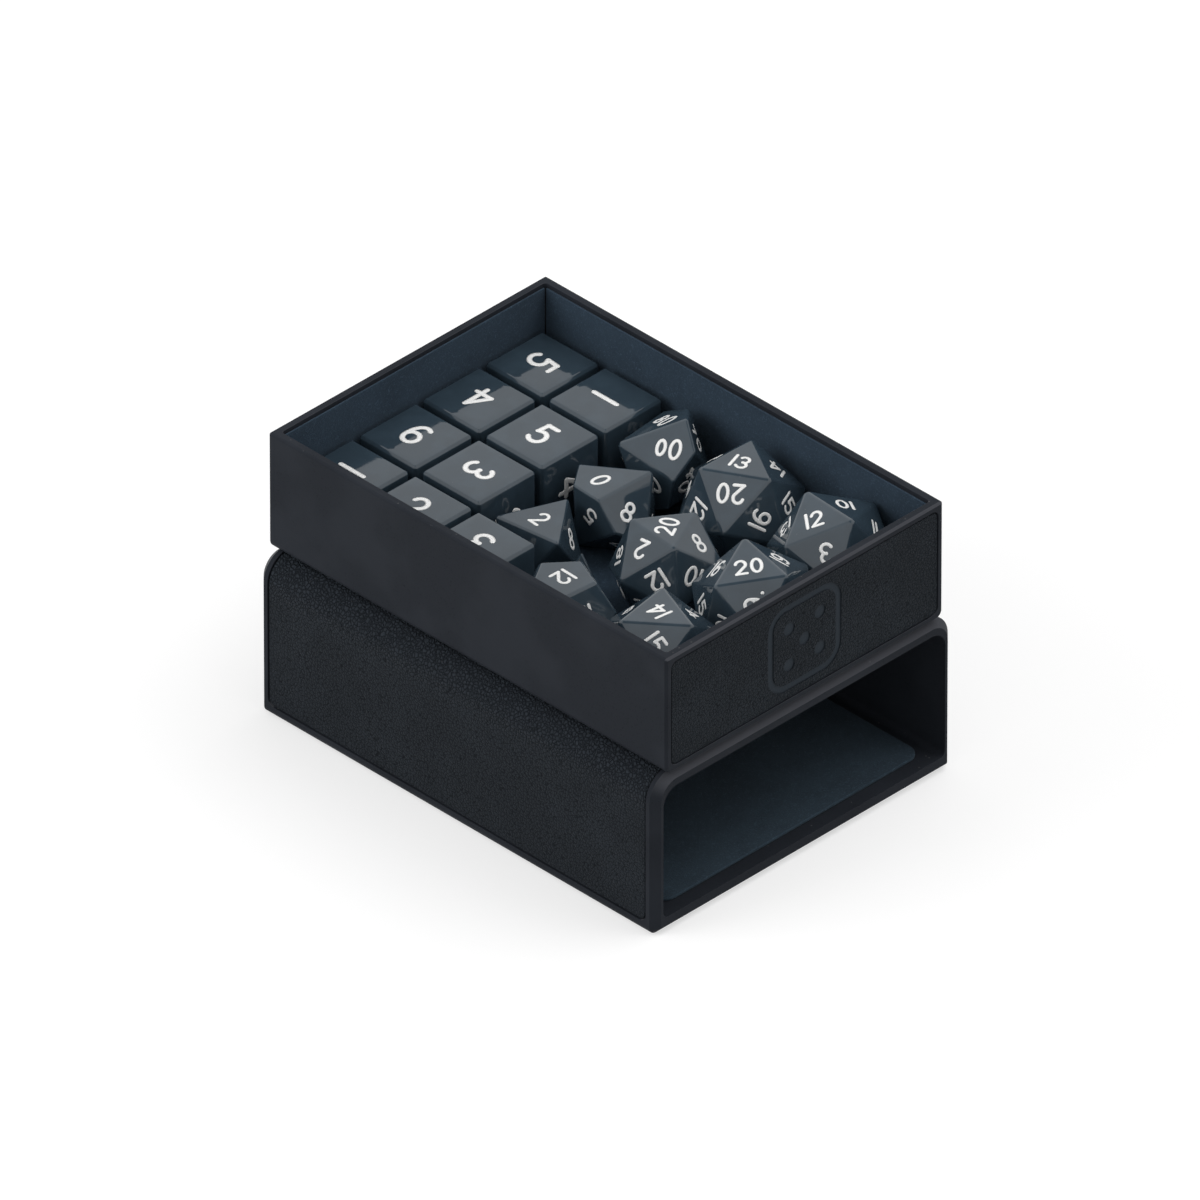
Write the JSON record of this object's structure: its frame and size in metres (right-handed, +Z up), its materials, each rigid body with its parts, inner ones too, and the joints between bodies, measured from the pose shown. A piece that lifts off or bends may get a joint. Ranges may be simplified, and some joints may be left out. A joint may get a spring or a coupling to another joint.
{
  "type": "dice storage chest",
  "caption": "Moulded slip sleeve with a leather wrap, a felt-lined drawer that slides through it and here stands on its roof, and loose polyhedral dice in the drawer.",
  "frame": {"origin": "centre of the sleeve's footprint, on the plane the sleeve stands on", "axes": "+Z up; Y along the sleeve and drawer, with the panelled drawer front at -Y; X across the width"},
  "size_m": [0.076, 0.101, 0.0596],
  "materials": {
    "moulded_shell": "fine satin texture",
    "leather": "pebbled grain",
    "felt": "short nap",
    "dice_resin": "polished",
    "numeral_paint": "white paint in the numerals"
  },
  "bodies": {
    "sleeve": {"sleeve_case": "moulded_shell", "sleeve_leather_wrap": "leather", "sleeve_floor_felt": "felt"},
    "drawer": {"drawer_tray": "moulded_shell", "drawer_front_leather": "leather", "drawer_floor_felt": "felt", "drawer_lining_left": "felt", "drawer_lining_right": "felt", "drawer_lining_front": "felt", "drawer_lining_rear": "felt"},
    "die_d6_1": {"d6_1": "dice_resin"},
    "die_d6_2": {"d6_2": "dice_resin"},
    "die_d6_3": {"d6_3": "dice_resin"},
    "die_d6_4": {"d6_4": "dice_resin"},
    "die_d6_5": {"d6_5": "dice_resin"},
    "die_d6_6": {"d6_6": "dice_resin"},
    "die_d6_7": {"d6_7": "dice_resin"},
    "die_d6_8": {"d6_8": "dice_resin"},
    "die_d6_9": {"d6_9": "dice_resin"},
    "die_d20_1": {"d20_1": "dice_resin"},
    "die_d20_2": {"d20_2": "dice_resin"},
    "die_d20_3": {"d20_3": "dice_resin"},
    "die_d20_4": {"d20_4": "dice_resin"},
    "die_d20_small": {"d20_small": "dice_resin"},
    "die_d12": {"d12": "dice_resin"},
    "die_d10": {"d10": "dice_resin"},
    "die_d10_tens": {"d10_tens": "dice_resin"},
    "die_d8": {"d8": "dice_resin"},
    "die_d4": {"d4": "dice_resin"}
  },
  "joints": [
    {"name": "drawer_slide", "type": "slide", "parent": "sleeve", "child": "drawer", "axis": [0, -1, 0], "range_m": [0, 0.1011]},
    {"name": "lift_d6_1", "type": "slide", "parent": "drawer", "child": "die_d6_1", "axis": [0, 0, 1], "range_m": [0, 0.04]},
    {"name": "lift_d6_2", "type": "slide", "parent": "drawer", "child": "die_d6_2", "axis": [0, 0, 1], "range_m": [0, 0.04]},
    {"name": "lift_d6_3", "type": "slide", "parent": "drawer", "child": "die_d6_3", "axis": [0, 0, 1], "range_m": [0, 0.04]},
    {"name": "lift_d6_4", "type": "slide", "parent": "drawer", "child": "die_d6_4", "axis": [0, 0, 1], "range_m": [0, 0.04]},
    {"name": "lift_d6_5", "type": "slide", "parent": "drawer", "child": "die_d6_5", "axis": [0, 0, 1], "range_m": [0, 0.04]},
    {"name": "lift_d6_6", "type": "slide", "parent": "drawer", "child": "die_d6_6", "axis": [0, 0, 1], "range_m": [0, 0.04]},
    {"name": "lift_d6_7", "type": "slide", "parent": "drawer", "child": "die_d6_7", "axis": [0, 0, 1], "range_m": [0, 0.04]},
    {"name": "lift_d6_8", "type": "slide", "parent": "drawer", "child": "die_d6_8", "axis": [0, 0, 1], "range_m": [0, 0.04]},
    {"name": "lift_d6_9", "type": "slide", "parent": "drawer", "child": "die_d6_9", "axis": [0, 0, 1], "range_m": [0, 0.04]},
    {"name": "lift_d20_1", "type": "slide", "parent": "drawer", "child": "die_d20_1", "axis": [0, 0, 1], "range_m": [0, 0.04]},
    {"name": "lift_d20_2", "type": "slide", "parent": "drawer", "child": "die_d20_2", "axis": [0, 0, 1], "range_m": [0, 0.04]},
    {"name": "lift_d20_3", "type": "slide", "parent": "drawer", "child": "die_d20_3", "axis": [0, 0, 1], "range_m": [0, 0.04]},
    {"name": "lift_d20_4", "type": "slide", "parent": "drawer", "child": "die_d20_4", "axis": [0, 0, 1], "range_m": [0, 0.04]},
    {"name": "lift_d20_small", "type": "slide", "parent": "drawer", "child": "die_d20_small", "axis": [0, 0, 1], "range_m": [0, 0.04]},
    {"name": "lift_d12", "type": "slide", "parent": "drawer", "child": "die_d12", "axis": [0, 0, 1], "range_m": [0, 0.04]},
    {"name": "lift_d10", "type": "slide", "parent": "drawer", "child": "die_d10", "axis": [0, 0, 1], "range_m": [0, 0.04]},
    {"name": "lift_d10_tens", "type": "slide", "parent": "drawer", "child": "die_d10_tens", "axis": [0, 0, 1], "range_m": [0, 0.04]},
    {"name": "lift_d8", "type": "slide", "parent": "drawer", "child": "die_d8", "axis": [0, 0, 1], "range_m": [0, 0.04]},
    {"name": "lift_d4", "type": "slide", "parent": "drawer", "child": "die_d4", "axis": [0, 0, 1], "range_m": [0, 0.04]}
  ]
}
